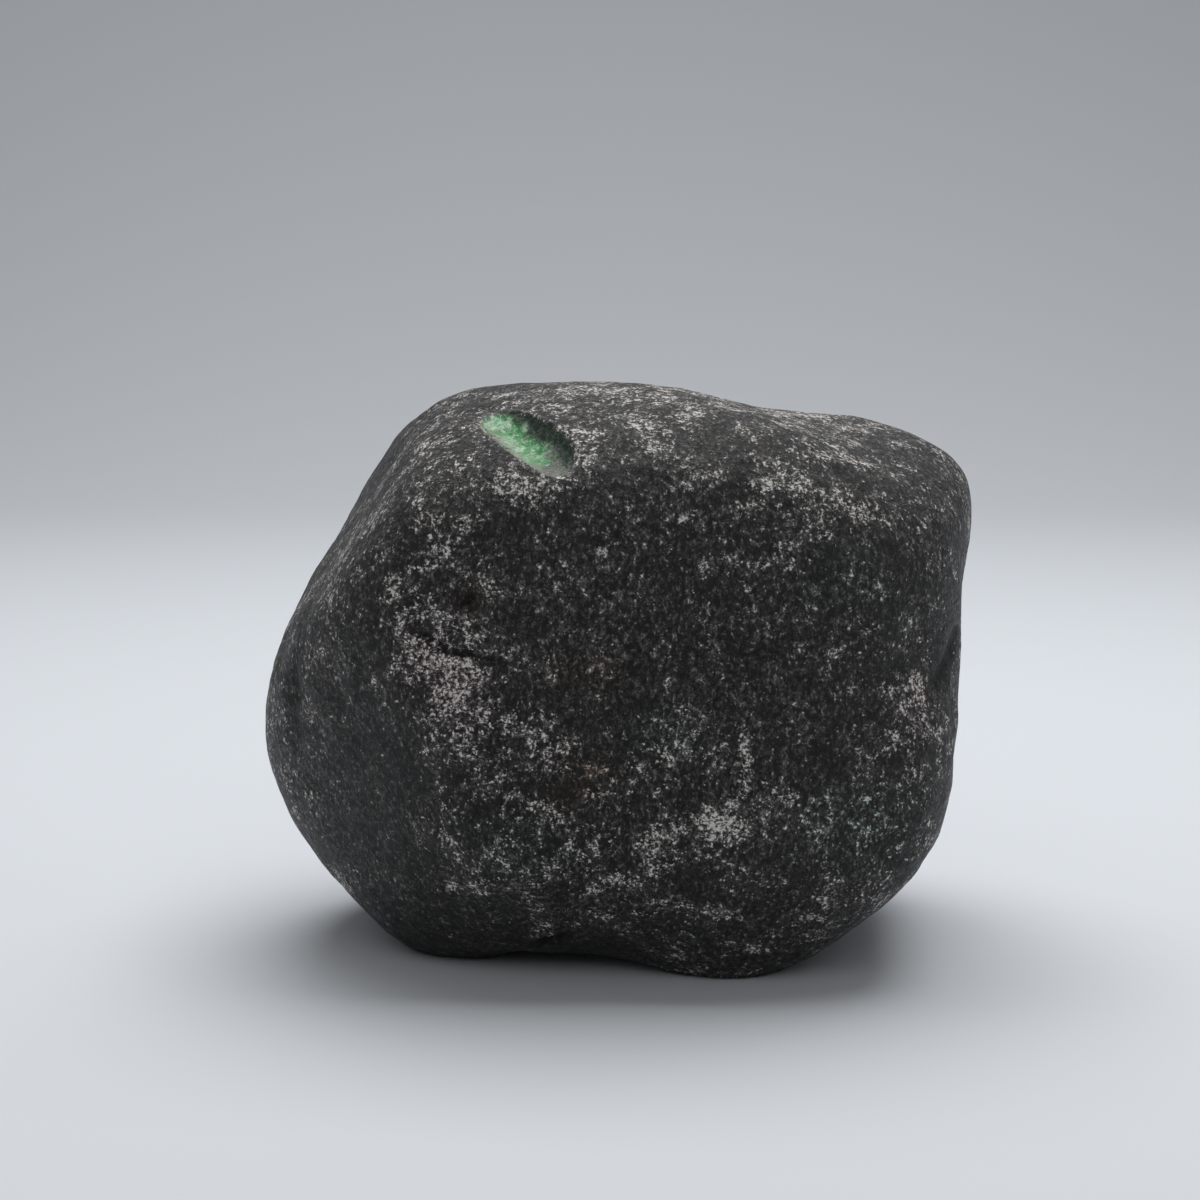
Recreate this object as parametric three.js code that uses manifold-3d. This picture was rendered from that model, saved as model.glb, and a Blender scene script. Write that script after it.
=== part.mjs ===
// Raw jade boulder: a stream-worn block of jadeite in its dark natural skin, resting on three worn knobs,
// with one small window ground through the skin near the top to show the green inside.
//
// Millimetres, +Z up, +X to the right, -Y towards the front. The origin is the middle of the stone's
// footprint, on the surface it rests on. A direction from the stone's middle is an azimuth (0 is right,
// 90 is the back, 180 is left, 270 is the front) and an elevation above the horizontal, in degrees.
import * as THREE from "three";
import { mergeVertices } from "three/addons/utils/BufferGeometryUtils.js";
import Module from "manifold-3d";

// The block before wear: a rounded box, measured from the stone's middle.
const HALF_LENGTH = 60;
const HALF_DEPTH = 45.5;
const MIDDLE_TO_TOP = 58;
const MIDDLE_TO_UNDERSIDE = 44;
const SQUARENESS = 3.6; // 2 would be an ellipsoid, and a large number a sharp box

// Old breaks, each a plane that cut the block: what it is, azimuth and elevation of its outward normal,
// and its distance from the stone's middle in mm.
const FLATS = [
  ["left slope", 186, 34, 52],
  ["under the left belly", 190, -42, 58.5],
  ["front left", 224, -14, 52.5],
  ["under the right side", 350, -46, 58],
  ["right side", 358, -3, 58.5],
  ["top, falling to the front", 250, 72, 54.5],
  ["top, falling to the back", 95, 76, 50.5],
  ["top, falling to the right", 12, 70, 51.5],
  ["upper front right", 318, 42, 66],
  ["back left", 140, -4, 54],
  ["upper back right", 52, 40, 56],
  ["lower back", 90, -48, 52],
  ["back right", 40, -5, 62],
  ["lower front", 262, -46, 52],
];
const EDGE_SHARPNESS = 16; // a larger number leaves less rounding where two flats meet

// Knobs, ridges and hollows on top of that: what it is, azimuth, elevation, reach in degrees, and height
// in mm, which is below zero in a hollow.
const WORN_FORMS = [
  ["upper right corner", 6, 35, 18, 6],
  ["top of that corner", 10, 48, 10, 1],
  ["waist below it", 0, 5, 11, -1],
  ["crease running in from the waist", 324, 10, 11, -3],
  ["broad hollow under the brow", 278, 18, 20, -3],
  ["front ridge, middle", 243, 4, 12, 2],
  ["front ridge, foot", 256, -24, 12, 1.5],
  ["lower front lobe", 292, -24, 16, 2],
  ["right front knob", 304, -54, 14, 5],
  ["left knob", 200, -60, 14, 3.5],
  ["arch between the front knobs", 222, -73, 10, -7.5],
  ["back knob", 72, -60, 13, 2.5],
  ["hollow under the middle", 60, -85, 24, -3],
];

// The three knobs are worn flat where they stand.
const MIDDLE_TO_GROUND = 43.5;

// The window: one pass of a small grinding wheel, longer than wide, deeper on the side away from the front.
const WINDOW_AZIMUTH = 246;
const WINDOW_ELEVATION = 53;
const WINDOW_HEADING = [0.52, -0.79, -0.31]; // along the pass, down over the brow
const WINDOW_HALF_LENGTH = 16.5;
const WINDOW_HALF_WIDTH = 5.4;
const WINDOW_HALF_DEPTH = 4.4;
const WINDOW_LIFT = 1.5; // the middle of the wheel's path above the skin
const WINDOW_LEAN = 20; // degrees that the wheel leaned towards the back right

// How finely the curved faces are divided: each of an icosahedron's edges, into this many and one.
const STONE_DIVISIONS = 17;
const WINDOW_DIVISIONS = 11;

const SKIN_COLOUR = 0x37383a;
const SKIN_ROUGHNESS = 0.55;

const wasm = await Module();
wasm.setup();

/** The unit vector of an azimuth and an elevation. */
function direction(azimuth, elevation) {
  const polar = THREE.MathUtils.degToRad(90 - elevation);
  const turn = THREE.MathUtils.degToRad(azimuth);
  return new THREE.Vector3(
    Math.sin(polar) * Math.cos(turn),
    Math.sin(polar) * Math.sin(turn),
    Math.cos(polar),
  );
}

const flats = FLATS.map(([, azimuth, elevation, distance]) => ({
  normal: direction(azimuth, elevation),
  distance,
}));

const wornForms = WORN_FORMS.map(([, azimuth, elevation, reach, height]) => ({
  centre: direction(azimuth, elevation),
  falloff: 1 - Math.cos(THREE.MathUtils.degToRad(reach)),
  height,
}));

/** Distance from the middle to the rounded box's surface in a direction. */
function blockDistance(unit) {
  const halfHeight = unit.z > 0 ? MIDDLE_TO_TOP : MIDDLE_TO_UNDERSIDE;
  const sum =
    Math.abs(unit.x / HALF_LENGTH) ** SQUARENESS +
    Math.abs(unit.y / HALF_DEPTH) ** SQUARENESS +
    Math.abs(unit.z / halfHeight) ** SQUARENESS;
  return sum ** (-1 / SQUARENESS);
}

/** Distance from the middle to the skin: the nearest of block and flats, blended, then forms and ground. */
function skinDistance(unit) {
  let nearness = blockDistance(unit) ** -EDGE_SHARPNESS;
  for (const { normal, distance } of flats) {
    nearness += (Math.max(unit.dot(normal), 0) / distance) ** EDGE_SHARPNESS;
  }
  let skin = nearness ** (-1 / EDGE_SHARPNESS);
  for (const { centre, falloff, height } of wornForms) {
    skin += height * Math.exp((unit.dot(centre) - 1) / falloff);
  }
  const toGround = unit.z < 0 ? MIDDLE_TO_GROUND / -unit.z : Infinity;
  return Math.min(skin, toGround);
}

/** A closed ball of triangles, its vertices shared, each moved from the unit sphere by place(vertex). */
function shapedBall(divisions, place) {
  const ball = new THREE.IcosahedronGeometry(1, divisions);
  ball.deleteAttribute("normal");
  ball.deleteAttribute("uv");
  const merged = mergeVertices(ball, 1e-5);
  const positions = merged.getAttribute("position");
  const vertex = new THREE.Vector3();
  for (let i = 0; i < positions.count; i += 1) {
    vertex.fromBufferAttribute(positions, i).normalize();
    place(vertex);
    positions.setXYZ(i, vertex.x, vertex.y, vertex.z);
  }
  return merged;
}

/** The stone as wear left it, before the window, its middle at the origin. */
function wornStone() {
  return shapedBall(STONE_DIVISIONS, (vertex) => {
    vertex.multiplyScalar(skinDistance(vertex));
  });
}

/** The space that the grinding wheel swept: an ellipsoid along the window, leaning to one side. */
function windowCutter() {
  const outward = direction(WINDOW_AZIMUTH, WINDOW_ELEVATION);
  const centre = outward.clone().multiplyScalar(skinDistance(outward) + WINDOW_LIFT);
  const along = new THREE.Vector3(...WINDOW_HEADING);
  const across = new THREE.Vector3().crossVectors(outward, along).normalize();
  along.crossVectors(across, outward);
  const lean = new THREE.Matrix4().makeRotationX(THREE.MathUtils.degToRad(WINDOW_LEAN));
  const pose = new THREE.Matrix4().makeBasis(along, across, outward).multiply(lean).setPosition(centre);
  const size = new THREE.Matrix4().makeScale(WINDOW_HALF_LENGTH, WINDOW_HALF_WIDTH, WINDOW_HALF_DEPTH);
  pose.multiply(size);
  return shapedBall(WINDOW_DIVISIONS, (vertex) => {
    vertex.applyMatrix4(pose);
  });
}

/** A geometry with shared vertices as a solid that can be cut. */
function solid(geometry) {
  const mesh = new wasm.Mesh({
    numProp: 3,
    vertProperties: geometry.getAttribute("position").array,
    triVerts: new Uint32Array(geometry.index.array),
  });
  return new wasm.Manifold(mesh);
}

/** A solid back as a geometry. */
function geometryOf(manifold) {
  const mesh = manifold.getMesh();
  const geometry = new THREE.BufferGeometry();
  geometry.setAttribute("position", new THREE.BufferAttribute(mesh.vertProperties, 3));
  geometry.setIndex(new THREE.BufferAttribute(mesh.triVerts, 1));
  return geometry;
}

/** The boulder: one stone, window cut, standing on z = 0 with its footprint centred on the origin. */
function boulder() {
  const geometry = geometryOf(solid(wornStone()).subtract(solid(windowCutter())));
  geometry.computeBoundingBox();
  const { min, max } = geometry.boundingBox;
  geometry.translate(-(min.x + max.x) / 2, -(min.y + max.y) / 2, MIDDLE_TO_GROUND);
  geometry.computeVertexNormals();
  const skin = new THREE.MeshStandardMaterial({ color: SKIN_COLOUR, roughness: SKIN_ROUGHNESS });
  const mesh = new THREE.Mesh(geometry, skin);
  mesh.name = "boulder";
  return mesh;
}

const group = new THREE.Group();
group.add(boulder());

export default group;
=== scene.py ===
# %% [markdown]
# # A boulder of raw jade
# Jadeite is found as boulders that a river has rolled for ages. Outside they wear a dark, rough skin, which
# hides the green, so sellers grind a small window through it. This file dresses one such boulder: its worn
# form, the skin with its pale flecks, and the window. It starts from a plain CAD solid of the same stone.

import bpy
import numpy as np
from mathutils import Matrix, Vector


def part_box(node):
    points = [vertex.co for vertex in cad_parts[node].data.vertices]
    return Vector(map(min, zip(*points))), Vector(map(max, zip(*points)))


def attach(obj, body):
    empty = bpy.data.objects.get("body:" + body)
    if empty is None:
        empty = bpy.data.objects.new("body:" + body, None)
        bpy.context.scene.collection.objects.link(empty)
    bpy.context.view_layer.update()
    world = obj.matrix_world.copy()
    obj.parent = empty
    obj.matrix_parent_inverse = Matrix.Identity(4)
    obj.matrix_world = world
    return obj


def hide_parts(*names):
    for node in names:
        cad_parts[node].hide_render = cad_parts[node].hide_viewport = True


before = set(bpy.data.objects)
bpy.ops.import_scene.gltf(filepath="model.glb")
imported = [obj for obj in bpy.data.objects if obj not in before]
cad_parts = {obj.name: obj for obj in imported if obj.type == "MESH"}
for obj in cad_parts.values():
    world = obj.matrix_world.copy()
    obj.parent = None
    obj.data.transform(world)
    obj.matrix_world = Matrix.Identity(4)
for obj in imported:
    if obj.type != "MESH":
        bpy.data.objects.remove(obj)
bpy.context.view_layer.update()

# %% [markdown]
# ## The stone's form
# A boulder could be sculpted by hand, but a formula can be read, changed and run again. This one follows
# how the stone came to be: a rounded block, broken along a few flats, then worn into knobs and hollows.
# It gives one distance from the stone's middle for every direction, so nothing can fold over itself.
# A direction is an azimuth (0 right, 90 back, 180 left, 270 front) and an elevation, in degrees.

# %% Directions, and the block with its flats and worn forms
MM = 0.001
HALF_LENGTH = 60
HALF_DEPTH = 45.5
MIDDLE_TO_TOP = 58
MIDDLE_TO_UNDERSIDE = 44
MIDDLE_TO_GROUND = 43.5
SQUARENESS = 3.6
EDGE_SHARPNESS = 16

# Each flat: what it is, its normal's azimuth and elevation, and its distance from the middle in mm.
FLATS = [
    ("left slope", 186, 34, 52),
    ("under the left belly", 190, -42, 58.5),
    ("front left", 224, -14, 52.5),
    ("under the right side", 350, -46, 58),
    ("right side", 358, -3, 58.5),
    ("top, falling to the front", 250, 72, 54.5),
    ("top, falling to the back", 95, 76, 50.5),
    ("top, falling to the right", 12, 70, 51.5),
    ("upper front right", 318, 42, 66),
    ("back left", 140, -4, 54),
    ("upper back right", 52, 40, 56),
    ("lower back", 90, -48, 52),
    ("back right", 40, -5, 62),
    ("lower front", 262, -46, 52),
]

# Each worn form: what it is, azimuth, elevation, reach in degrees, and height in mm (below zero in a hollow).
WORN_FORMS = [
    ("upper right corner", 6, 35, 18, 6),
    ("top of that corner", 10, 48, 10, 1),
    ("waist below it", 0, 5, 11, -1),
    ("crease running in from the waist", 324, 10, 11, -3),
    ("broad hollow under the brow", 278, 18, 20, -3),
    ("front ridge, middle", 243, 4, 12, 2),
    ("front ridge, foot", 256, -24, 12, 1.5),
    ("lower front lobe", 292, -24, 16, 2),
    ("right front knob", 304, -54, 14, 5),
    ("left knob", 200, -60, 14, 3.5),
    ("arch between the front knobs", 222, -73, 10, -7.5),
    ("back knob", 72, -60, 13, 2.5),
    ("hollow under the middle", 60, -85, 24, -3),
]


def direction(azimuth, elevation):
    """The unit vector (cos e cos a, cos e sin a, sin e) of azimuth a and elevation e."""
    a, e = np.radians(azimuth), np.radians(elevation)
    return np.array([np.cos(e) * np.cos(a), np.cos(e) * np.sin(a), np.sin(e)])


def worn_form(unit):
    """Distance in mm from the middle to the worn form, for rows of unit vectors.

    The block is a superellipsoid. Block and flats are blended as the power mean of their nearness, which
    rounds the edges between them, and each worn form adds height * exp((cos angle - 1) / (1 - cos reach)).
    """
    half_height = np.where(unit[:, 2] > 0, MIDDLE_TO_TOP, MIDDLE_TO_UNDERSIDE)
    half = np.column_stack([np.full(len(unit), HALF_LENGTH), np.full(len(unit), HALF_DEPTH), half_height])
    block = (np.abs(unit / half) ** SQUARENESS).sum(axis=1) ** (-1 / SQUARENESS)
    nearness = block**-EDGE_SHARPNESS
    for _, azimuth, elevation, distance in FLATS:
        facing = np.maximum(unit @ direction(azimuth, elevation), 0)
        nearness += (facing / distance) ** EDGE_SHARPNESS
    form = nearness ** (-1 / EDGE_SHARPNESS)
    for _, azimuth, elevation, reach, height in WORN_FORMS:
        facing = unit @ direction(azimuth, elevation)
        form += height * np.exp((facing - 1) / (1 - np.cos(np.radians(reach))))
    return form


def down_to_ground(unit, distance):
    """The same distances, cut off by the plane that the stone rests on."""
    downward = np.maximum(-unit[:, 2], 1e-6)
    return np.minimum(distance, MIDDLE_TO_GROUND / downward)


# %% [markdown]
# ## A grid of directions
# The surface is a function of two parameters on six square sheets, one for each side of a cube, swelled
# onto a sphere. That keeps the cells nearly square, where a globe's grid would pinch them at two poles.
# The window is small and has fine edges, so the directions are then drawn in towards it.

# %% The six sheets, welded at their seams
CELLS = 126
WINDOW_AZIMUTH = 246
WINDOW_ELEVATION = 53
DRAWN_IN = 0.6
DRAWN_REACH = 50


def sphere_sheets(cells):
    """Unit vectors and four-cornered faces of a cube's six sides: (tan u, tan v, 1), normalised."""
    steps = np.tan(np.linspace(-np.pi / 4, np.pi / 4, cells + 1))
    u, v = np.meshgrid(steps, steps, indexing="ij")
    x, y, z = np.eye(3)
    sheets = []
    for across, up in [(y, z), (z, y), (z, x), (x, z), (x, y), (y, x)]:
        outward = np.cross(across, up)
        sheet = u[..., None] * across + v[..., None] * up + outward
        sheets.append(sheet.reshape(-1, 3))
    points = np.concatenate(sheets)
    points /= np.linalg.norm(points, axis=1, keepdims=True)
    side = cells + 1
    corner = (np.arange(cells)[:, None] * side + np.arange(cells)).ravel()
    sheet_faces = np.column_stack([corner, corner + side, corner + side + 1, corner + 1])
    faces = (np.arange(6)[:, None, None] * side * side + sheet_faces).reshape(-1, 4)
    _, first, welded = np.unique(np.round(points, 6), axis=0, return_index=True, return_inverse=True)
    return points[first], welded.ravel()[faces]


def drawn_towards(unit, centre, share, reach):
    """Unit vectors moved towards centre: an angle t from it becomes t * (1 - share * exp(-(t / reach)^2))."""
    angle = np.arccos(np.clip(unit @ centre, -1, 1))
    sideways = unit - (unit @ centre)[:, None] * centre
    sideways /= np.maximum(np.linalg.norm(sideways, axis=1, keepdims=True), 1e-9)
    moved = angle * (1 - share * np.exp(-((angle / np.radians(reach)) ** 2)))
    return np.cos(moved)[:, None] * centre + np.sin(moved)[:, None] * sideways


sheet_points, faces = sphere_sheets(CELLS)
window_out = direction(WINDOW_AZIMUTH, WINDOW_ELEVATION)
unit = drawn_towards(sheet_points, window_out, DRAWN_IN, DRAWN_REACH)
print("directions:", len(unit), " triangles:", 2 * len(faces))

# %% [markdown]
# ## Wear
# No worn stone is as even as a formula. Smooth noise at a few wavelengths gives the swells that a hand
# feels, and some hundreds of shallow dents are the scars of knocks against other stones. All of them are
# seeded, so the stone comes out the same each time. Finer grain than this is left to the material.

# %% Smooth noise and dents
NOISE_CELLS = 32


def smooth_noise(points, wavelength, seed):
    """Gradient noise, about -1 to 1: a random slope at each corner of a cubic lattice, eased together."""
    random = np.random.default_rng(seed)
    slopes = random.normal(size=(NOISE_CELLS**3, 3))
    slopes /= np.linalg.norm(slopes, axis=1, keepdims=True)
    place = points / wavelength
    cell = np.floor(place).astype(int)
    within = place - cell
    eased = within**3 * (within * (within * 6 - 15) + 10)
    total = np.zeros(len(points))
    for corner in np.ndindex(2, 2, 2):
        wrapped = (cell + corner) % NOISE_CELLS
        slope = slopes[(wrapped[:, 0] * NOISE_CELLS + wrapped[:, 1]) * NOISE_CELLS + wrapped[:, 2]]
        weight = np.where(corner, eased, 1 - eased).prod(axis=1)
        total += weight * ((within - corner) * slope).sum(axis=1)
    return 1.5 * total


# Wavelength and height of each swell, in mm.
SWELLS = [(34, 0.8), (15, 0.4), (7, 0.22), (3.4, 0.12), (1.7, 0.06)]
DENTS = 420
DENT_RADIUS = (1.2, 7.0)
DENT_DEPTH = 0.055  # of a dent's radius
DENT_SEED = 71
SMALL_DENTS = 2.2  # a larger number makes more of the dents small


def wear(unit, form):
    """Height in mm that wear adds: noise, less a dent's depth * (1 - (distance / radius)^2)^2."""
    points = unit * form[:, None]
    height = sum(tall * smooth_noise(points, long, seed) for seed, (long, tall) in enumerate(SWELLS))
    random = np.random.default_rng(DENT_SEED)
    centres = random.normal(size=(DENTS, 3))
    centres /= np.linalg.norm(centres, axis=1, keepdims=True)
    radii = DENT_RADIUS[0] + (DENT_RADIUS[1] - DENT_RADIUS[0]) * random.random(DENTS) ** SMALL_DENTS
    for centre, radius in zip(centres, radii):
        near = unit @ centre > np.cos(2 * radius / MIDDLE_TO_GROUND)
        away = np.linalg.norm(points[near] - centre * form[near][:, None], axis=1) / radius
        height[near] -= DENT_DEPTH * radius * np.maximum(1 - away**2, 0) ** 2
    return height


form = worn_form(unit)
worn = wear(unit, form)
print("wear, mm: lowest", round(worn.min(), 2), "highest", round(worn.max(), 2))

# %% [markdown]
# ## Cracks, creases and a lip
# A few marks have a place of their own: a crack on the left of the front, a groove down the left end, a
# crease where two knobs meet, and a sharp lip at the foot. Each is a line between two directions, sunk or
# raised with a soft cross-section. Noise pushes the line about, because no crack runs straight.

# %% Lines on the surface
LINE_WANDER = 0.7
LINE_WAVELENGTH = 4.0
LINE_SEEDS = (30, 31, 32)
END_DEPTH = 0.2

# Each row: what it is, azimuth and elevation of one end and of the other, half width and depth in mm.
GROOVES = [
    ("crack, upper part", 234.5, 16, 240, 13.6, 0.45, 0.8),
    ("crack, lower part", 239.5, 14, 249.8, 11.9, 0.45, 1.0),
    ("crack, its branch", 243, 13.2, 247, 8.5, 0.45, 0.4),
    ("groove down the left end", 205.4, 7.5, 202.1, -7, 1.6, 0.7),
    ("top crease", 305.9, 58.2, 297, 51, 1.0, 0.4),
    ("top crease, foot", 298, 52, 288.7, 46.5, 0.9, 0.6),
    ("crease at the waist", 338, 12, 327, 4, 1.8, 0.9),
    ("lip over the front knob", 247.2, -45.5, 257.4, -42.6, 0.9, -0.7),
    ("under that lip", 247.2, -48.3, 257.4, -45.4, 1.2, 1.0),
    ("pit on the upper right", 316, 39, 317, 38, 1.2, 0.6),
    ("pit under the left brow", 242.3, 22.9, 243.3, 22.1, 1.3, 0.9),
]


def lines(unit, form, rows):
    """The rows' strengths times exp(-(distance to the line / half width)^2), faded at both ends.

    The distance is measured from a point that noise has pushed aside, so the lines wander.
    """
    points = unit * form[:, None]
    push = [LINE_WANDER * smooth_noise(points, LINE_WAVELENGTH, seed) / form for seed in LINE_SEEDS]
    pushed = unit + np.column_stack(push)
    total = np.zeros(len(unit))
    for _, azimuth, elevation, far_azimuth, far_elevation, half_width, strength in rows:
        start, end = direction(azimuth, elevation), direction(far_azimuth, far_elevation)
        line = end - start
        share = np.clip((pushed - start) @ line / (line @ line), 0, 1)
        away = np.linalg.norm(pushed - start - share[:, None] * line, axis=1) * form
        fade = np.sqrt(np.clip(4 * share * (1 - share) + END_DEPTH, 0, 1))
        total += strength * fade * np.exp(-((away / half_width) ** 2))
    return total


groove = lines(unit, form, GROOVES)
skin = down_to_ground(unit, form + worn - groove)
print("grooves, mm: deepest", round(groove.max(), 2), " highest lip", round(-groove.min(), 2))

# %% [markdown]
# ## The window
# A seller's window is one pass of a small grinding wheel, so its shape is the bit of an ellipsoid that dips
# into the stone. A ray from the middle meets that ellipsoid at the root of a quadratic, and the stone's
# surface is the nearer of skin and ellipsoid. A blend over about a tenth of a millimetre wears the rim round.
# How deep the cut goes below the old skin is kept too: a shallow cut leaves skin on, a deep one shows jade.

# %% The wheel's path, cut out of the skin
WINDOW_HEADING = (0.52, -0.79, -0.31)
WINDOW_SIZE = (16.5, 5.4, 4.4)
WINDOW_LIFT = 1.5
WINDOW_LEAN = 20
RIM_WEAR = 0.12
# Wavelength and height in mm, and seed, of the unevenness that the wheel left.
WHEEL_MARKS = [(3.0, 0.12, 20), (1.2, 0.05, 21)]
RIM_REACH = 3
NO_WHEEL = 1000.0


def wheel_axes(outward, heading, lean):
    """Rows along, across and out of the window, turned about the first by lean degrees."""
    across = np.cross(outward, heading)
    across /= np.linalg.norm(across)
    along = np.cross(across, outward)
    c, s = np.cos(np.radians(lean)), np.sin(np.radians(lean))
    return np.array([along, c * across + s * outward, c * outward - s * across])


def ellipsoid_near_side(unit, centre, axes, size):
    """Distance along each unit vector to an ellipsoid's near side, and NO_WHEEL where it misses."""
    across = unit @ axes.T / size
    middle = axes @ centre / size
    a = (across**2).sum(axis=1)
    b = across @ middle
    inside = b**2 - a * (middle @ middle - 1)
    return np.where((inside > 0) & (b > 0), (b - np.sqrt(np.maximum(inside, 0))) / a, NO_WHEEL)


def worn_minimum(first, second, softness):
    """The smaller of two distances, with the edge where they cross rounded off."""
    return np.minimum(first, second) - softness * np.log1p(np.exp(-np.abs(first - second) / softness))


window_axes = wheel_axes(window_out, WINDOW_HEADING, WINDOW_LEAN)
window_centre = window_out * (worn_form(window_out[None])[0] + WINDOW_LIFT)
wheel = ellipsoid_near_side(unit, window_centre, window_axes, np.array(WINDOW_SIZE))
wheel += sum(tall * smooth_noise(unit * form[:, None], long, seed) for long, tall, seed in WHEEL_MARKS)
surface = np.where(wheel < skin + RIM_REACH, worn_minimum(skin, wheel, RIM_WEAR), skin)
cut = skin - surface
print("window, mm: deepest", round(cut.max(), 2), " vertices in it:", int((cut > 0.1).sum()))

# %% [markdown]
# ## Where the marks are
# The skin isn't the same all over. Pale crust clings in patches and fills a few thin veins, dust greys the
# top, rust has seeped in at a few spots, and green shows faintly where the skin is thin. Over the top, the
# crust and dust patches are partly a painted sheen, and the dust along the left rim is a painted highlight.
# Each patch is a soft oval on the surface, given by the direction of its middle, its length and width in
# mm, and its turn from level. A vein is a line, like the crack. All become attributes of the mesh's
# vertices, and the materials break their edges up with noise, as weather does.

# %% Patches and veins of crust, and a painted sheen on the top
# Each row: what it is, azimuth, elevation, length, width, turn in degrees, strength.
CRUST_AND_SHEEN = [
    ("white under the crack", 239.4, 8.5, 20, 11, -50, 1.5),
    ("above the dark pit", 319.4, 41.5, 16, 9, 0, 0.8),
    ("upper right, inner", 299.9, 39.2, 9, 6, 20, 0.7),
    ("upper right, outer", 313, 32.5, 13, 8, 0, 0.9),
    ("grey patch at the foot of the vein", 289.8, -17.3, 14, 7, 15, 1.4),
    ("front foot", 265, -30.7, 34, 15, 0, 0.5),
    ("left ridge", 236.3, 27, 20, 10, 60, 0.5),
    ("below the window", 245, 43, 20, 9, -20, 1.05),
    ("top edge, back", 67.2, 71.9, 30, 14, 0, 0.5),
    ("top edge, right", 1.4, 44.3, 16, 8, 0, 0.6),
    ("right edge", 323.5, 2.2, 16, 5, 80, 0.9),
    ("lower left facets", 197.1, -34.1, 14, 6, -30, 0.9),
    ("vein", 294, -5.5, 10, 2, 90, 0.9),
    ("bare hollow", 278, 14, 42, 30, 0, -0.5),
    # These two top patches, like the dust there, partly lighten the top as a painted sheen.
    ("whole top", 290, 72, 104, 46, 0, 0.4),
    ("top, back right", 20, 62, 50, 34, 0, 0.5),
    ("dark left flank", 221, -17, 24, 38, 0, -0.8),
    ("left of the middle", 252, -7, 26, 34, 0, 0.6),
    ("over the right foot", 262, -22, 26, 12, 0, 0.4),
    ("below the middle", 262, -13, 16, 18, 0, 0.6),
    ("bare beside the grey patch", 301, -17, 13, 11, 0, -0.7),
]
# Each row: what it is, azimuth and elevation of one end and of the other, half width in mm, strength.
VEINS = [
    ("upright vein", 294.3, -0.5, 293.8, -11, 0.7, 3.0),
    ("its lean to the foot", 293.8, -10, 290.5, -16, 0.7, 2.0),
    ("thread on the right edge", 323.5, 8, 324.2, -3, 0.9, 2.4),
    ("thread beside it", 327, 4, 326, -8, 0.7, 1.8),
    ("along the crack", 237, 12.0, 248.5, 9.0, 0.9, 1.6),
    ("thread on the brow", 296, 40, 309, 36, 0.8, 1.8),
    ("thread over the lip", 248, -43.2, 256, -41, 0.8, 2.2),
]


def patches(unit, points, rows):
    """Sum over the rows of strength * exp(-(x / half length)^2 - (y / half width)^2), x and y on the surface.

    The depth below the patch's middle fades it too, so it doesn't show on the stone's far side.
    """
    total = np.zeros(len(unit))
    for _, azimuth, elevation, length, width, turn, strength in rows:
        out = direction(azimuth, elevation)
        away = points - points[np.argmax(unit @ out)]
        level = np.array([-out[1], out[0], 0]) / np.hypot(out[0], out[1])
        upright = np.cross(out, level)
        c, s = np.cos(np.radians(turn)), np.sin(np.radians(turn))
        x = away @ (c * level + s * upright) / (length / 2)
        y = away @ (c * upright - s * level) / (width / 2)
        z = away @ out / length
        total += strength * np.exp(-(x**2) - y**2 - z**2)
    return total


points = unit * surface[:, None]
crust_and_sheen = patches(unit, points, CRUST_AND_SHEEN) + lines(unit, form, VEINS)
print("crust from", round(crust_and_sheen.min(), 2), "to", round(crust_and_sheen.max(), 2))

# %% [markdown]
# ## Dust, stains, painted sheen and painted shade
# The other patches work the same way. Dust and the dark patches change how bright the grains are, and
# rust, green and rose change their colour. The dust over the top is partly a painted sheen, and along the
# left rim a painted highlight. All dark patches but the rusty spot at the middle are painted shade: in two
# pits, under the lip and the left knob, and over the left flank. Patches may overlap, and then they add
# up, as weather does.

# %% Patches of dust and painted sheen, painted shade, rust, green and rose
# Dust, and painted light: the two top patches are partly a painted sheen, the left rim a painted highlight.
DUST_AND_SHEEN = [
    ("whole top", 290, 72, 104, 46, 0, 1.0),
    ("top, back right", 20, 62, 50, 34, 0, 0.8),
    ("foot of the vein", 290.3, -17.3, 13, 7, 15, 1.2),
    ("left rim", 203, 4, 18, 60, 0, 0.4),
    ("under the crack", 243, 9, 12, 8, -40, 0.6),
]
# Painted shade, all but the spot at the middle, which is a stain: pits, under the lip and knob, the left
# flank.
PAINTED_SHADE_AND_STAIN = [
    ("pit on the upper right", 316.3, 38.5, 3.6, 2.4, 0, 0.8),
    ("pit under the left brow", 242.8, 22.5, 3.2, 2.6, 30, 1.0),
    ("spot at the middle", 260.6, -12.1, 3.6, 2.6, 0, 0.9),
    ("under the lip", 262, -50, 22, 10, 0, 0.9),
    ("under the left knob", 214, -46, 30, 12, 0, 0.7),
    ("left flank", 221, -17, 28, 42, 0, 0.35),
]
RUST = [
    ("pit under the left brow", 242.8, 22.5, 4, 3.2, 30, 1.0),
    ("spot at the middle", 260.6, -12.1, 5, 4, 0, 1.0),
    ("brown over it", 265, 10.8, 12, 7, 0, 0.4),
    ("brown below", 265.1, -7.7, 9, 7, 0, 0.5),
]
GREEN = [
    ("right of the brow", 310.9, 23.2, 12, 9, 0, 0.7),
    ("lower right", 313, -14.9, 14, 11, 0, 0.9),
    ("lower left", 252.2, -21.2, 12, 9, 0, 0.7),
    ("middle", 279, -1.1, 12, 7, 0, 0.5),
]
ROSE = [
    ("white under the crack", 239.4, 8.5, 20, 11, -50, 1.0),
    ("right edge", 323.5, 2.2, 16, 5, 80, 1.0),
]

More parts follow.
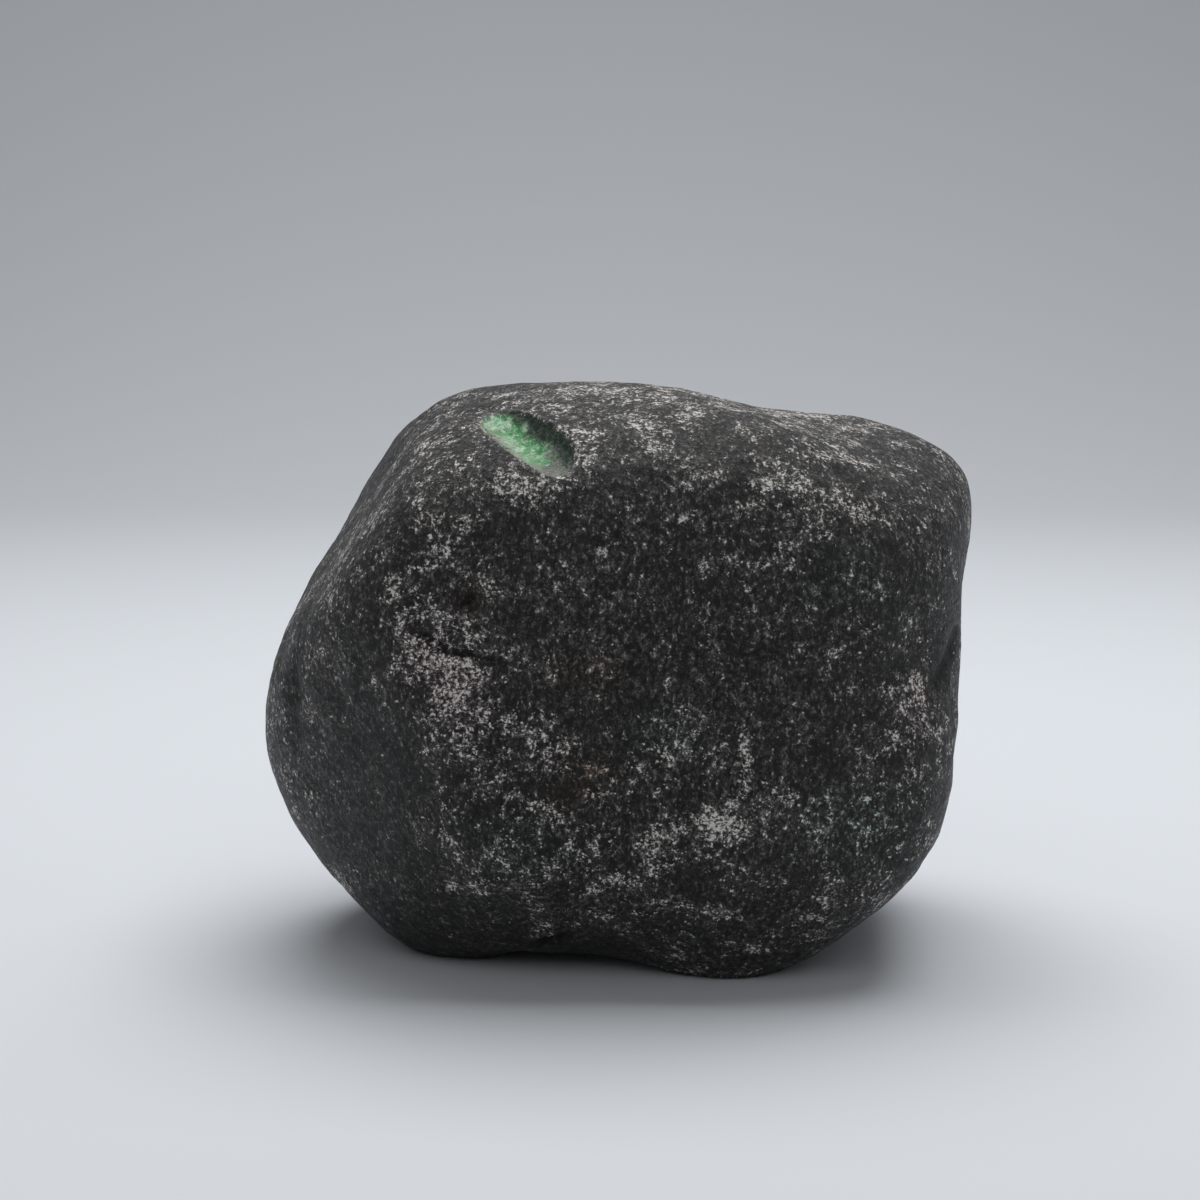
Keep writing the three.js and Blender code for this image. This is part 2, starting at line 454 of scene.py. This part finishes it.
in_wheel = (points - window_centre) @ window_axes.T / WINDOW_SIZE
marks = {"cut": cut, "groove": groove, "crust_and_sheen": crust_and_sheen, "along": in_wheel[:, 0], "across": in_wheel[:, 1]}
for name, rows in {"dust_and_sheen": DUST_AND_SHEEN, "dark": PAINTED_SHADE_AND_STAIN, "rust": RUST, "green": GREEN, "rose": ROSE}.items():
    marks[name] = patches(unit, points, rows)
    print(name, "from", round(marks[name].min(), 2), "to", round(marks[name].max(), 2))

# %% [markdown]
# ## The mesh
# The stone stands where the CAD stone stands: its middle is found from the CAD box, and the lowest points
# of its three knobs touch the ground. Faces in the window get the second material.

# %% Build the mesh and its attributes
low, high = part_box("boulder")
smooth_points = unit * down_to_ground(unit, worn_form(unit))[:, None]
middle = np.array([(low[i] + high[i]) / 2 for i in range(3)])
middle -= MM * (smooth_points.min(axis=0) + smooth_points.max(axis=0)) / 2
middle[2] = low[2] + MM * MIDDLE_TO_GROUND


def stone_mesh(name, points, faces, attributes):
    """A smooth-shaded mesh of those points and faces, with a number at each vertex for each attribute."""
    mesh = bpy.data.meshes.new(name)
    mesh.from_pydata(points, [], faces)
    mesh.polygons.foreach_set("use_smooth", np.ones(len(faces), bool))
    for attribute_name, values in attributes.items():
        attribute = mesh.attributes.new(attribute_name, "FLOAT", "POINT")
        attribute.data.foreach_set("value", values.astype(np.float32))
    mesh.update()
    return mesh


boulder = bpy.data.objects.new(
    "jade_boulder",
    stone_mesh("jade_boulder", middle + MM * unit * surface[:, None], faces, marks),
)
bpy.context.scene.collection.objects.link(boulder)
print("middle, mm:", (middle / MM).round(2))

# %% [markdown]
# ## Building materials
# A material is a graph of nodes, and graphs are easier to read when each node is one call. These helpers
# add a node, set its inputs to numbers or to other nodes' outputs, and hand its first output back.

# %% Helpers for nodes
def add(tree, kind, inputs=(), output=0, **settings):
    """A new node's output. Inputs are (socket, number or output) pairs, and settings are the node's own."""
    node = tree.nodes.new(kind)
    for setting, value in settings.items():
        setattr(node, setting, value)
    for socket, value in dict(inputs).items():
        if isinstance(value, bpy.types.NodeSocket):
            tree.links.new(value, node.inputs[socket])
        else:
            node.inputs[socket].default_value = value
    return node.outputs[output]


def maths(tree, operation, *values, clamp=False):
    """One Math node on numbers or outputs."""
    return add(tree, "ShaderNodeMath", enumerate(values), operation=operation, use_clamp=clamp)


def noise(tree, place, wavelength, detail=2.0, rough=0.5, output=0):
    """A Noise Texture with features about one wavelength wide, place being in mm."""
    inputs = {"Vector": place, "Scale": 1 / wavelength, "Detail": detail, "Roughness": rough}
    return add(tree, "ShaderNodeTexNoise", inputs, output=output)


def between(tree, value, start, end):
    """0 at start, 1 at end, and a smooth climb between them; start and end may be outputs."""
    inputs = {"Value": value, "From Min": start, "From Max": end}
    return add(tree, "ShaderNodeMapRange", inputs, interpolation_type="SMOOTHSTEP")


def blend(tree, share, first, second, mode="MIX"):
    """Two colours mixed by a share."""
    node = tree.nodes.new("ShaderNodeMix")
    node.data_type = "RGBA"
    node.blend_type = mode
    for socket, value in ((node.inputs["Factor"], share), (node.inputs[6], first), (node.inputs[7], second)):
        if isinstance(value, bpy.types.NodeSocket):
            tree.links.new(value, socket)
        elif socket.type == "RGBA":
            socket.default_value = (*value, 1)
        else:
            socket.default_value = value
    return node.outputs[2]


def group(name, inputs, outputs):
    """A node group with named sockets, and its inner input and output nodes."""
    tree = bpy.data.node_groups.new(name, "ShaderNodeTree")
    for socket_name, kind in inputs:
        tree.interface.new_socket(socket_name, in_out="INPUT", socket_type=kind)
    for socket_name, kind in outputs:
        tree.interface.new_socket(socket_name, in_out="OUTPUT", socket_type=kind)
    return tree, tree.nodes.new("NodeGroupInput").outputs, tree.nodes.new("NodeGroupOutput").inputs


# %% [markdown]
# ## Flecks
# Up close, the skin is a dark ground with thousands of pale flecks, where the weathered crust still fills
# the gaps between crystals. Noise above a threshold makes flecks of one size. The threshold falls where
# there is more crust, so the same group gives a sprinkle in one place and a crowded patch in another.

# %% The flecks group
FLOAT = "NodeSocketFloat"
VECTOR = "NodeSocketVector"
COLOUR = "NodeSocketColor"
FLECK_THRESHOLD = 0.58  # of the noise, where no crust crowds the flecks
FLECK_CROWDING = 0.1
FLECK_SOFTNESS = 0.14
FLECK_NOISE = {"Detail": 4.0, "Roughness": 0.62, "Distortion": 0.3}

flecks, given, result = group(
    "flecks",
    [("Place", VECTOR), ("Spacing", FLOAT), ("Crowding", FLOAT)],
    [("Mask", FLOAT)],
)
fleck_scale = maths(flecks, "DIVIDE", 1.0, given["Spacing"])
fleck_noise = {"Vector": given["Place"], "Scale": fleck_scale, **FLECK_NOISE}
fleck_noise = add(flecks, "ShaderNodeTexNoise", fleck_noise)
crowded = maths(flecks, "MULTIPLY", given["Crowding"], FLECK_CROWDING)
threshold = maths(flecks, "SUBTRACT", FLECK_THRESHOLD, crowded)
full = maths(flecks, "ADD", threshold, FLECK_SOFTNESS)
flecks.links.new(between(flecks, fleck_noise, threshold, full), result["Mask"])
print("group:", flecks.name, "with", len(flecks.nodes), "nodes")

# %% [markdown]
# ## The skin, and where its flecks crowd
# Both materials need the skin: it covers the stone, and its ragged edge reaches into the window. So it is
# a group too. The place is first pushed about a little, so that nothing looks ruled, and then stretched in
# two ways, because the crystals lie flat in some layers and upright in others. Flecks crowd where noise
# and crust say, and thin out where rust has stained. In grooves, pits and fine crevices, and in the dark
# patches, the flecks thin out and the ground darkens: that is painted shade. Where a lip stands up, the
# same sum lightens the skin, a painted highlight.

# %% The skin group: places, crowding and crevices
WANDER_WAVELENGTH = 1.6
WANDER = 0.8
LEVEL_GRAIN = {"Rotation": (0, 0.35, 0), "Scale": (0.8, 0.9, 1.25)}
UPRIGHT_GRAIN = {"Rotation": (0, -0.35, 0), "Scale": (1.15, 1.0, 0.8)}
CREVICE_WIDTH = 0.018

MARKS = ("Crust_and_sheen", "Dust_and_sheen", "Dark", "Groove", "Rust", "Green", "Rose")
skin_group, given, result = group(
    "stone_skin",
    [("Place", VECTOR)] + [(name, FLOAT) for name in MARKS],
    [("Colour", COLOUR), ("Roughness", FLOAT), ("Height", FLOAT)],
)
tree = skin_group
place = given["Place"]
wander = noise(tree, place, WANDER_WAVELENGTH, detail=2.0, output=1)
wander = add(tree, "ShaderNodeVectorMath", {0: wander, 1: (0.5, 0.5, 0.5)}, operation="SUBTRACT")
wander = add(tree, "ShaderNodeVectorMath", {0: wander, "Scale": WANDER}, operation="SCALE")
strayed = add(tree, "ShaderNodeVectorMath", {0: place, 1: wander}, operation="ADD")
level = add(tree, "ShaderNodeMapping", {"Vector": strayed, **LEVEL_GRAIN})
upright = add(tree, "ShaderNodeMapping", {"Vector": strayed, **UPRIGHT_GRAIN})

broad = maths(tree, "SUBTRACT", noise(tree, place, 26.0, detail=1.0), 0.5)
patchy = maths(tree, "SUBTRACT", noise(tree, strayed, 6.0, detail=4.0, rough=0.7), 0.5)
winding = maths(tree, "SUBTRACT", noise(tree, level, 4.5, detail=4.0, rough=0.6), 0.5)
# Painted shade: crevices, grooves, pits and dark patches darken the skin; a raised lip gets a painted
# highlight.
crevice_shade = between(tree, maths(tree, "ABSOLUTE", winding), CREVICE_WIDTH, 0.0)
shade = maths(tree, "MULTIPLY_ADD", given["Groove"], 1.3, given["Dark"])
shade = maths(tree, "MULTIPLY_ADD", crevice_shade, 0.55, shade)
crowding = maths(tree, "MULTIPLY", patchy, 6.5)
for measure, share in ((broad, 2.0), (given["Crust_and_sheen"], 1.2), (shade, -2.5), (given["Rust"], -1.2)):
    crowding = maths(tree, "MULTIPLY_ADD", measure, share, crowding)
print("group:", skin_group.name, "takes a place and", MARKS)

# %% [markdown]
# ## How bright each grain is
# Grains differ by ratios: about as many are half as bright as their neighbours as are twice as bright. So
# the parts below add up to an exponent, and e to that power is the brightness. Three sizes of fleck switch
# the bright grains on, a few whole crystals shine out, and dust lifts the ground evenly. Over the top that
# lift is partly a painted sheen, and along the left rim a painted highlight. The shade sum lowers the
# exponent, a painted shade.

# %% The skin group: brightness
GROUND = 0.023
BRIGHTEST = 0.9
CRYSTAL_SIZE = 0.5
SOLID_CRUST = 1.2


def fleck_layer(spacing, along, extra):
    """One size of fleck, crowded a little more or less than the rest."""
    node = tree.nodes.new("ShaderNodeGroup")
    node.node_tree = flecks
    node.inputs["Spacing"].default_value = spacing
    tree.links.new(along, node.inputs["Place"])
    tree.links.new(maths(tree, "ADD", crowding, extra), node.inputs["Crowding"])
    return node.outputs["Mask"]


coarse = fleck_layer(2.6, level, 0.2)
fine = fleck_layer(1.0, upright, 0.3)
clots = fleck_layer(5.5, level, -0.4)
chalk = maths(tree, "MAXIMUM", maths(tree, "MAXIMUM", coarse, fine), clots)

cell = add(tree, "ShaderNodeTexVoronoi", {"Vector": strayed, "Scale": 1 / CRYSTAL_SIZE})
chance = add(tree, "ShaderNodeSeparateColor", {0: cell.node.outputs["Color"]})
crystal = maths(tree, "MULTIPLY", maths(tree, "POWER", chance, 3.0), between(tree, cell, 0.55, 0.25))
gritty = maths(tree, "MULTIPLY_ADD", noise(tree, level, 0.55, detail=2.0, rough=0.7), 13.0, -6.5)
mottle = maths(tree, "MULTIPLY_ADD", noise(tree, upright, 0.9, detail=4.0, rough=0.8), 14.0, -7.0)
solid_crust = maths(tree, "MAXIMUM", maths(tree, "SUBTRACT", given["Crust_and_sheen"], SOLID_CRUST), 0.0)

lift = maths(tree, "ADD", maths(tree, "MULTIPLY_ADD", crystal, 3.2, 1.4), gritty)
exponent = maths(tree, "MULTIPLY_ADD", chalk, lift, mottle)
# Dust partly paints sheen on the top; shade paints shade into grooves, pits, crevices and dark patches.
for measure, share in (
    (crystal, 2.0),
    (patchy, 4.0),
    (shade, -1.0),
    (given["Dust_and_sheen"], 0.75),
    (solid_crust, 0.5),
):
    exponent = maths(tree, "MULTIPLY_ADD", measure, share, exponent)
value = maths(tree, "MULTIPLY", maths(tree, "EXPONENT", exponent), GROUND)
value = maths(tree, "MINIMUM", value, BRIGHTEST)
print("group:", skin_group.name, "has", len(skin_group.nodes), "nodes so far")

# %% [markdown]
# ## Tints, shine and grain
# The ground drifts between blue-black, green-black and brown-black. Green, rust and rose tint it where the
# attributes say. Bright grains stand a little proud of the ground, and so the same exponent is the height.

# %% The skin group: colour, roughness and height
GROUND_TINT = (1.05, 1.0, 0.95)
TINT_DRIFT = 0.8
# Each row: the mark, how much of its tint shows where the mark is 1, and the tint.
TINTS = [
    ("Green", 0.6, (0.75, 1.1, 0.9)),
    ("Rust", 0.9, (1.15, 0.75, 0.5)),
    ("Rose", 0.7, (1.15, 0.97, 0.95)),
]

hue = noise(tree, strayed, 7.0, detail=4.0, output=1)
tint = blend(tree, TINT_DRIFT, GROUND_TINT, hue, "SOFT_LIGHT")
for name, share, colour in TINTS:
    tint = blend(tree, maths(tree, "MULTIPLY", given[name], share, clamp=True), tint, colour)
shine = maths(tree, "MULTIPLY_ADD", noise(tree, level, 1.5, detail=2.0), 0.5, 0.25)
height = maths(tree, "MULTIPLY_ADD", winding, 4.0, maths(tree, "MULTIPLY", exponent, 0.25))
tree.links.new(blend(tree, 1.0, tint, value, "MULTIPLY"), result["Colour"])
tree.links.new(shine, result["Roughness"])
tree.links.new(height, result["Height"])
print("group:", skin_group.name, "with", len(skin_group.nodes), "nodes")

# %% [markdown]
# ## The skin material
# A stone's skin lets no light in, so this material is the skin group and a shader. The grain is far finer
# than the mesh, and a bump gives it: the shader tilts its normal as the height climbs and falls.

# %% The skin material
BUMP_DISTANCE = 0.00022
SKIN_GLOSS = 0.35


def mark(tree, name):
    """The number that the mesh holds for a mark."""
    return add(tree, "ShaderNodeAttribute", output="Fac", attribute_name=name)


def place_and_skin(tree):
    """The place in mm, and a stone_skin node's outputs, fed from the mesh's attributes."""
    metres = add(tree, "ShaderNodeTexCoord", output="Object")
    place = add(tree, "ShaderNodeVectorMath", {0: metres, "Scale": 1 / MM}, operation="SCALE")
    node = tree.nodes.new("ShaderNodeGroup")
    node.node_tree = skin_group
    tree.links.new(place, node.inputs["Place"])
    for name in MARKS:
        tree.links.new(mark(tree, name.lower()), node.inputs[name])
    return place, node.outputs


def new_material(name):
    """An empty material and its tree, with the Principled shader that ends it."""
    material = bpy.data.materials.new(name)
    material.use_nodes = True
    tree = material.node_tree
    return material, tree, tree.nodes["Principled BSDF"]


def bumped(tree, height, distance):
    """A normal tilted by a height, the distance in metres being how far it climbs from 0 to 1."""
    return add(tree, "ShaderNodeBump", {"Height": height, "Distance": distance, "Strength": 1.0})


skin_material, tree, shader = new_material("skin")
place, skin_out = place_and_skin(tree)
tree.links.new(skin_out["Colour"], shader.inputs["Base Color"])
tree.links.new(skin_out["Roughness"], shader.inputs["Roughness"])
tree.links.new(bumped(tree, skin_out["Height"], BUMP_DISTANCE), shader.inputs["Normal"])
shader.inputs["Specular IOR Level"].default_value = SKIN_GLOSS
print("material:", skin_material.name, "with", len(tree.nodes), "nodes")

# %% [markdown]
# ## The window material
# Jade shows where the cut is deeper than the skin is thick, with a ragged edge. It is strong green in
# clouds and mint between them, with white fibres. The low end of the window is grey, and the brink on the
# near side is thin skin. The steep wall on the far side is painted almost black, partly dark jade and
# partly a painted shadow in the wall. Noise frays every border.

# %% The window's colours
CLOUDS = 2.6
FIBRES = 0.8
DEEP_GREEN = (0.012, 0.26, 0.045)
MINT = (0.38, 0.62, 0.41)
WHITE_FIBRE = (0.60, 0.70, 0.55)
GREY_END = [(0.06, 0.06, 0.05), (0.17, 0.17, 0.145)]
BRINK = (0.17, 0.19, 0.12)
# Painted shadow on the steep far wall, over partly dark green-black jade.
WALL_SHADOW_AND_DARK_JADE = [(0.015, 0.03, 0.02), (0.085, 0.12, 0.085)]

window_material, tree, shader = new_material("window")
place, skin_out = place_and_skin(tree)
cut_depth, along, across = [mark(tree, name) for name in ("cut", "along", "across")]
ragged = maths(tree, "MULTIPLY_ADD", noise(tree, place, 1.6, detail=4.0, rough=0.7), 3.0, -1.5)
through = between(tree, maths(tree, "ADD", cut_depth, ragged), 0.35, 0.8)
ground_edge = between(tree, maths(tree, "MULTIPLY_ADD", ragged, 0.35, across), -0.98, -0.80)
through = maths(tree, "MULTIPLY", through, ground_edge)
cloudy = noise(tree, place, CLOUDS, detail=4.0, rough=0.65)
fibrous = noise(tree, place, FIBRES, detail=3.0, rough=0.7)
jade_colour = blend(tree, between(tree, cloudy, 0.46, 0.60), DEEP_GREEN, MINT)
jade_colour = blend(tree, between(tree, fibrous, 0.54, 0.64), jade_colour, WHITE_FIBRE)
end = between(tree, maths(tree, "MULTIPLY_ADD", cloudy, 1.2, along), 0.80, 1.10)
end_colour = blend(tree, between(tree, fibrous, 0.4, 0.6), *GREY_END)
jade_colour = blend(tree, end, jade_colour, end_colour)
brink = between(tree, maths(tree, "MULTIPLY_ADD", fibrous, -1.6, across), -1.35, -1.75)
jade_colour = blend(tree, brink, jade_colour, BRINK)
# The steep far wall: painted shadow, over partly dark jade.
wall_shadow = between(tree, maths(tree, "MULTIPLY_ADD", cloudy, -1.0, across), -0.76, -0.36)
wall_shadow_colour = blend(tree, between(tree, fibrous, 0.42, 0.62), *WALL_SHADOW_AND_DARK_JADE)
jade_colour = blend(tree, wall_shadow, jade_colour, wall_shadow_colour)
print("jade: clouds of", CLOUDS, "mm, fibres of", FIBRES, "mm;", len(tree.nodes), "nodes so far")

# %% [markdown]
# ## The window's shader
# Jade lets some light in and scatters it under the surface, green going farthest. That softens the window
# next to the hard skin. A ground face is smoother too, with less roughness and a weaker bump.

# %% The window material
SKIN_ROUGHNESS = 0.55
POLISH = -0.25
SCATTER = {
    "Subsurface Weight": 0.15,
    "Subsurface Radius": (0.4, 1.0, 0.6),
    "Subsurface Scale": 0.002,
}
GROUND_FACE_BUMP = 0.3

tree.links.new(blend(tree, through, skin_out["Colour"], jade_colour), shader.inputs["Base Color"])
polish = maths(tree, "MULTIPLY_ADD", through, POLISH, SKIN_ROUGHNESS)
tree.links.new(polish, shader.inputs["Roughness"])
tree.links.new(bumped(tree, skin_out["Height"], GROUND_FACE_BUMP * BUMP_DISTANCE), shader.inputs["Normal"])
for socket, value in SCATTER.items():
    shader.inputs[socket].default_value = value
print("material:", window_material.name, "with", len(tree.nodes), "nodes")

# %% [markdown]
# ## Dressing the stone
# A mesh can carry several materials, and each face says which one it wears. A face with any corner below
# the old skin belongs to the window. Then the frame is told that this piece stands for the CAD stone.

# %% Put the materials on, and hand the boulder to the frame
WINDOW_FACE_DEPTH = 0.03

boulder.data.materials.append(skin_material)
boulder.data.materials.append(window_material)
in_window = (cut[faces] > WINDOW_FACE_DEPTH).any(axis=1)
boulder.data.polygons.foreach_set("material_index", in_window.astype(np.int32))
boulder.data.update()
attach(boulder, "root")
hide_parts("boulder")
print("faces in the window:", int(in_window.sum()))

# %% [markdown]
# ## The paper
# The stone stands on a sheet of pale paper that curves up into a wall behind it, as in a studio. There is
# no line where floor meets wall, so nothing draws the eye from the stone.

# %% The paper sweep
PAPER_START = -3.0
PAPER_BEND = 0.60
PAPER_RADIUS = 0.5
PAPER_TOP = 2.6
PAPER_HALF_WIDTH = 3.0
PAPER_STEPS = 49
PAPER_COLOUR = (0.76, 0.79, 0.83)
PAPER_ROUGHNESS = 0.6
PAPER_GLOSS = 0.3


def paper_profile(steps):
    """Points (y, z) of the sheet: level, then (bend + r sin t, r - r cos t) for a quarter turn t, then up."""
    turn = np.linspace(0, np.pi / 2, steps)
    curve = np.column_stack([PAPER_BEND + PAPER_RADIUS * np.sin(turn), PAPER_RADIUS * (1 - np.cos(turn))])
    return np.vstack([[PAPER_START, 0], curve, [PAPER_BEND + PAPER_RADIUS, PAPER_TOP]])


profile = paper_profile(PAPER_STEPS)
rows = len(profile)
paper_points = np.vstack([
    np.column_stack([np.full(rows, side * PAPER_HALF_WIDTH), profile]) for side in (-1, 1)
])
step = np.arange(rows - 1)
paper_faces = np.column_stack([step, step + rows, step + rows + 1, step + 1])
paper_mesh = bpy.data.meshes.new("paper")
paper_mesh.from_pydata(paper_points, [], paper_faces)
paper_mesh.polygons.foreach_set("use_smooth", np.ones(len(paper_faces), bool))
paper = bpy.data.objects.new("paper", paper_mesh)
bpy.context.scene.collection.objects.link(paper)
paper_material, tree, shader = new_material("paper")
shader.inputs["Base Color"].default_value = (*PAPER_COLOUR, 1)
shader.inputs["Roughness"].default_value = PAPER_ROUGHNESS
shader.inputs["Specular IOR Level"].default_value = PAPER_GLOSS
paper_mesh.materials.append(paper_material)
print("paper rows:", rows)

# %% [markdown]
# ## Light
# One large softbox hangs above and a little behind, so the top is lit, the front stays dark and the shadow
# falls forward. A weaker one in front keeps the front's grain readable. Big lights near a small stone give
# soft edges to every shadow. The world's even grey fills the rest.

# %% Softboxes and world
# Each row: name, place, aim, size, power in watts.
SOFTBOXES = [
    ("overhead softbox", (0.04, 0.20, 0.68), (0.01, 0.06, 0), (0.7, 0.55), 4.8),
    ("front fill", (0, -0.75, 0.60), (0, 0, 0.04), (0.9, 0.5), 1.2),
]
WORLD_COLOUR = (0.96, 0.98, 1.0)
WORLD_STRENGTH = 0.175


def softbox(name, place, aim, size, power):
    """A rectangular area light at a place, facing another."""
    light = bpy.data.lights.new(name, "AREA")
    light.shape = "RECTANGLE"
    light.size, light.size_y = size
    light.energy = power
    lamp = bpy.data.objects.new(name, light)
    lamp.location = place
    away = lamp.location - Vector(aim)
    lamp.rotation_euler = away.to_track_quat("Z", "Y").to_euler()
    lamp.visible_camera = False
    bpy.context.scene.collection.objects.link(lamp)
    return lamp


for row in SOFTBOXES:
    print("light:", softbox(*row).name)

world = bpy.data.worlds.new("studio")
world.use_nodes = True
backdrop = world.node_tree.nodes["Background"]
backdrop.inputs["Color"].default_value = (*WORLD_COLOUR, 1)
backdrop.inputs["Strength"].default_value = WORLD_STRENGTH
bpy.context.scene.world = world
bpy.context.scene.view_settings.view_transform = "Standard"

# %% [markdown]
# ## Camera
# A long lens from half a metre away keeps the stone's shape true, as a short one close up would swell its
# front. The camera looks down a little, so some of the top shows.

# %% The camera
CAMERA_LENS = 90
CAMERA_DISTANCE = 0.51
CAMERA_AZIMUTH = 270
CAMERA_ELEVATION = 10
CAMERA_PITCH = 8.47
CAMERA_YAW = 0.286

camera_data = bpy.data.cameras.new("camera")
camera_data.lens = CAMERA_LENS
camera = bpy.data.objects.new("camera", camera_data)
camera.location = middle + CAMERA_DISTANCE * direction(CAMERA_AZIMUTH, CAMERA_ELEVATION)
camera.rotation_euler = np.radians([90 - CAMERA_PITCH, 0, CAMERA_YAW])
bpy.context.scene.collection.objects.link(camera)
bpy.context.scene.camera = camera
print("camera at, mm:", (np.array(camera.location) / MM).round())
